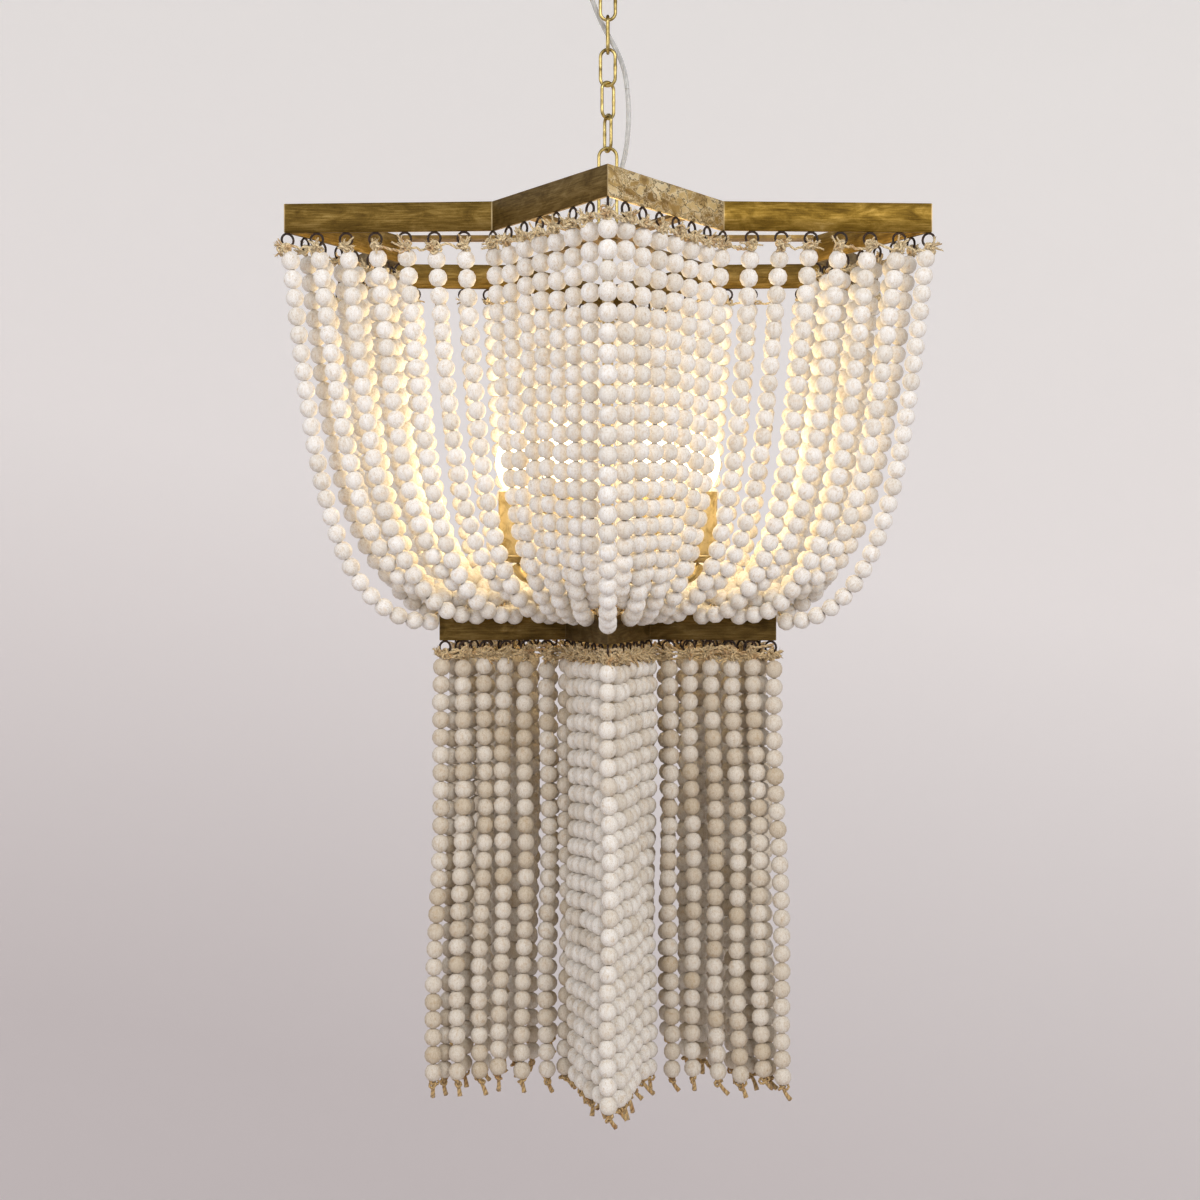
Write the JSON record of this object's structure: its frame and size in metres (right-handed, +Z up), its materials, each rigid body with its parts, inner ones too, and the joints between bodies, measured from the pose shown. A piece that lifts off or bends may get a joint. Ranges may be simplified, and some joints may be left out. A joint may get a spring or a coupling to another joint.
{
  "type": "beaded chandelier",
  "caption": "Star-shaped chandelier: two gold flat-bar star frames hung with whitewashed bead strands, candle lights inside, chain, cable and ceiling canopy",
  "frame": {"origin": "centre of the crossbar's ceiling face, over the middle of the fixture", "axes": "+Z up out of the ceiling face, -Y towards the viewer through one star point, +X to the viewer's right"},
  "size_m": [0.542, 0.6242, 1.049],
  "materials": {
    "aged_gold": "mottled antique gold leaf over dark bronze, satin",
    "brass": "polished brass, slightly worn",
    "bead_wood": "whitewashed turned wood, matte",
    "ring_iron": "dark brown iron wire",
    "twine": "frayed natural jute twine",
    "porcelain": "off-white lamp holder, satin",
    "bulb_glass": "warm white candle bulb",
    "clear_cord": "clear sheath over silvery twisted cores",
    "white_plastic": "moulded bushing, satin"
  },
  "bodies": {
    "ceiling": {"ceiling_crossbar": "brass", "collar_loop": "brass"},
    "canopy": {"canopy": "brass", "collar_ring": "brass", "cord_bushing": "white_plastic"},
    "chain": {"chain_link_1": "brass", "chain_link_2": "brass", "chain_link_3": "brass", "chain_link_4": "brass", "chain_link_5": "brass", "supply_cable_upper": "clear_cord"},
    "fixture": {"bail": "brass", "top_hub": "brass", "upper_rod_nut": "brass", "upper_spider": "aged_gold", "upper_star_frame": "aged_gold", "centre_rod": "brass", "arm_hub": "brass", "candle_arm_1": "brass", "candle_arm_2": "brass", "candle_arm_3": "brass", "candle_arm_4": "brass", "candle_arm_5": "brass", "candle_arm_6": "brass", "candle_sleeve_1": "brass", "candle_sleeve_2": "brass", "candle_sleeve_3": "brass", "candle_sleeve_4": "brass", "candle_sleeve_5": "brass", "candle_sleeve_6": "brass", "lamp_holder_1": "porcelain", "lamp_holder_2": "porcelain", "lamp_holder_3": "porcelain", "lamp_holder_4": "porcelain", "lamp_holder_5": "porcelain", "lamp_holder_6": "porcelain", "lower_rod_nut": "brass", "lower_spider": "aged_gold", "lower_star_frame": "aged_gold", "finial": "brass", "upper_strands_1": "bead_wood", "upper_strands_2": "bead_wood", "upper_strands_3": "bead_wood", "upper_strands_4": "bead_wood", "upper_strands_5": "bead_wood", "upper_strands_6": "bead_wood", "lower_strands_1": "bead_wood", "lower_strands_2": "bead_wood", "lower_strands_3": "bead_wood", "lower_strands_4": "bead_wood", "lower_strands_5": "bead_wood", "lower_strands_6": "bead_wood", "supply_cable_lower": "clear_cord"},
    "bulb_1": {"candle_bulb_1": "bulb_glass"},
    "bulb_2": {"candle_bulb_2": "bulb_glass"},
    "bulb_3": {"candle_bulb_3": "bulb_glass"},
    "bulb_4": {"candle_bulb_4": "bulb_glass"},
    "bulb_5": {"candle_bulb_5": "bulb_glass"},
    "bulb_6": {"candle_bulb_6": "bulb_glass"}
  },
  "joints": [
    {"name": "canopy_slide", "type": "slide", "parent": "ceiling", "child": "canopy", "axis": [0, 0, -1], "range_m": [0, 0.025]},
    {"name": "chain_swing", "type": "hinge", "parent": "ceiling", "child": "chain", "pos_m": [0, 0, -0.0507], "axis": [1, 0, 0], "range_deg": [-12, 12], "deforming": ["supply_cable_upper"]},
    {"name": "fixture_swing", "type": "hinge", "parent": "chain", "child": "fixture", "pos_m": [0, 0, -0.2023], "axis": [-0.4226, 0.9063, 0], "range_deg": [-10, 10], "deforming": ["supply_cable_lower"]},
    {"name": "bulb_1_unscrew", "type": "slide", "parent": "fixture", "child": "bulb_1", "axis": [0, 0, 1], "range_m": [0, 0.024]},
    {"name": "bulb_2_unscrew", "type": "slide", "parent": "fixture", "child": "bulb_2", "axis": [0, 0, 1], "range_m": [0, 0.024]},
    {"name": "bulb_3_unscrew", "type": "slide", "parent": "fixture", "child": "bulb_3", "axis": [0, 0, 1], "range_m": [0, 0.024]},
    {"name": "bulb_4_unscrew", "type": "slide", "parent": "fixture", "child": "bulb_4", "axis": [0, 0, 1], "range_m": [0, 0.024]},
    {"name": "bulb_5_unscrew", "type": "slide", "parent": "fixture", "child": "bulb_5", "axis": [0, 0, 1], "range_m": [0, 0.024]},
    {"name": "bulb_6_unscrew", "type": "slide", "parent": "fixture", "child": "bulb_6", "axis": [0, 0, 1], "range_m": [0, 0.024]}
  ]
}
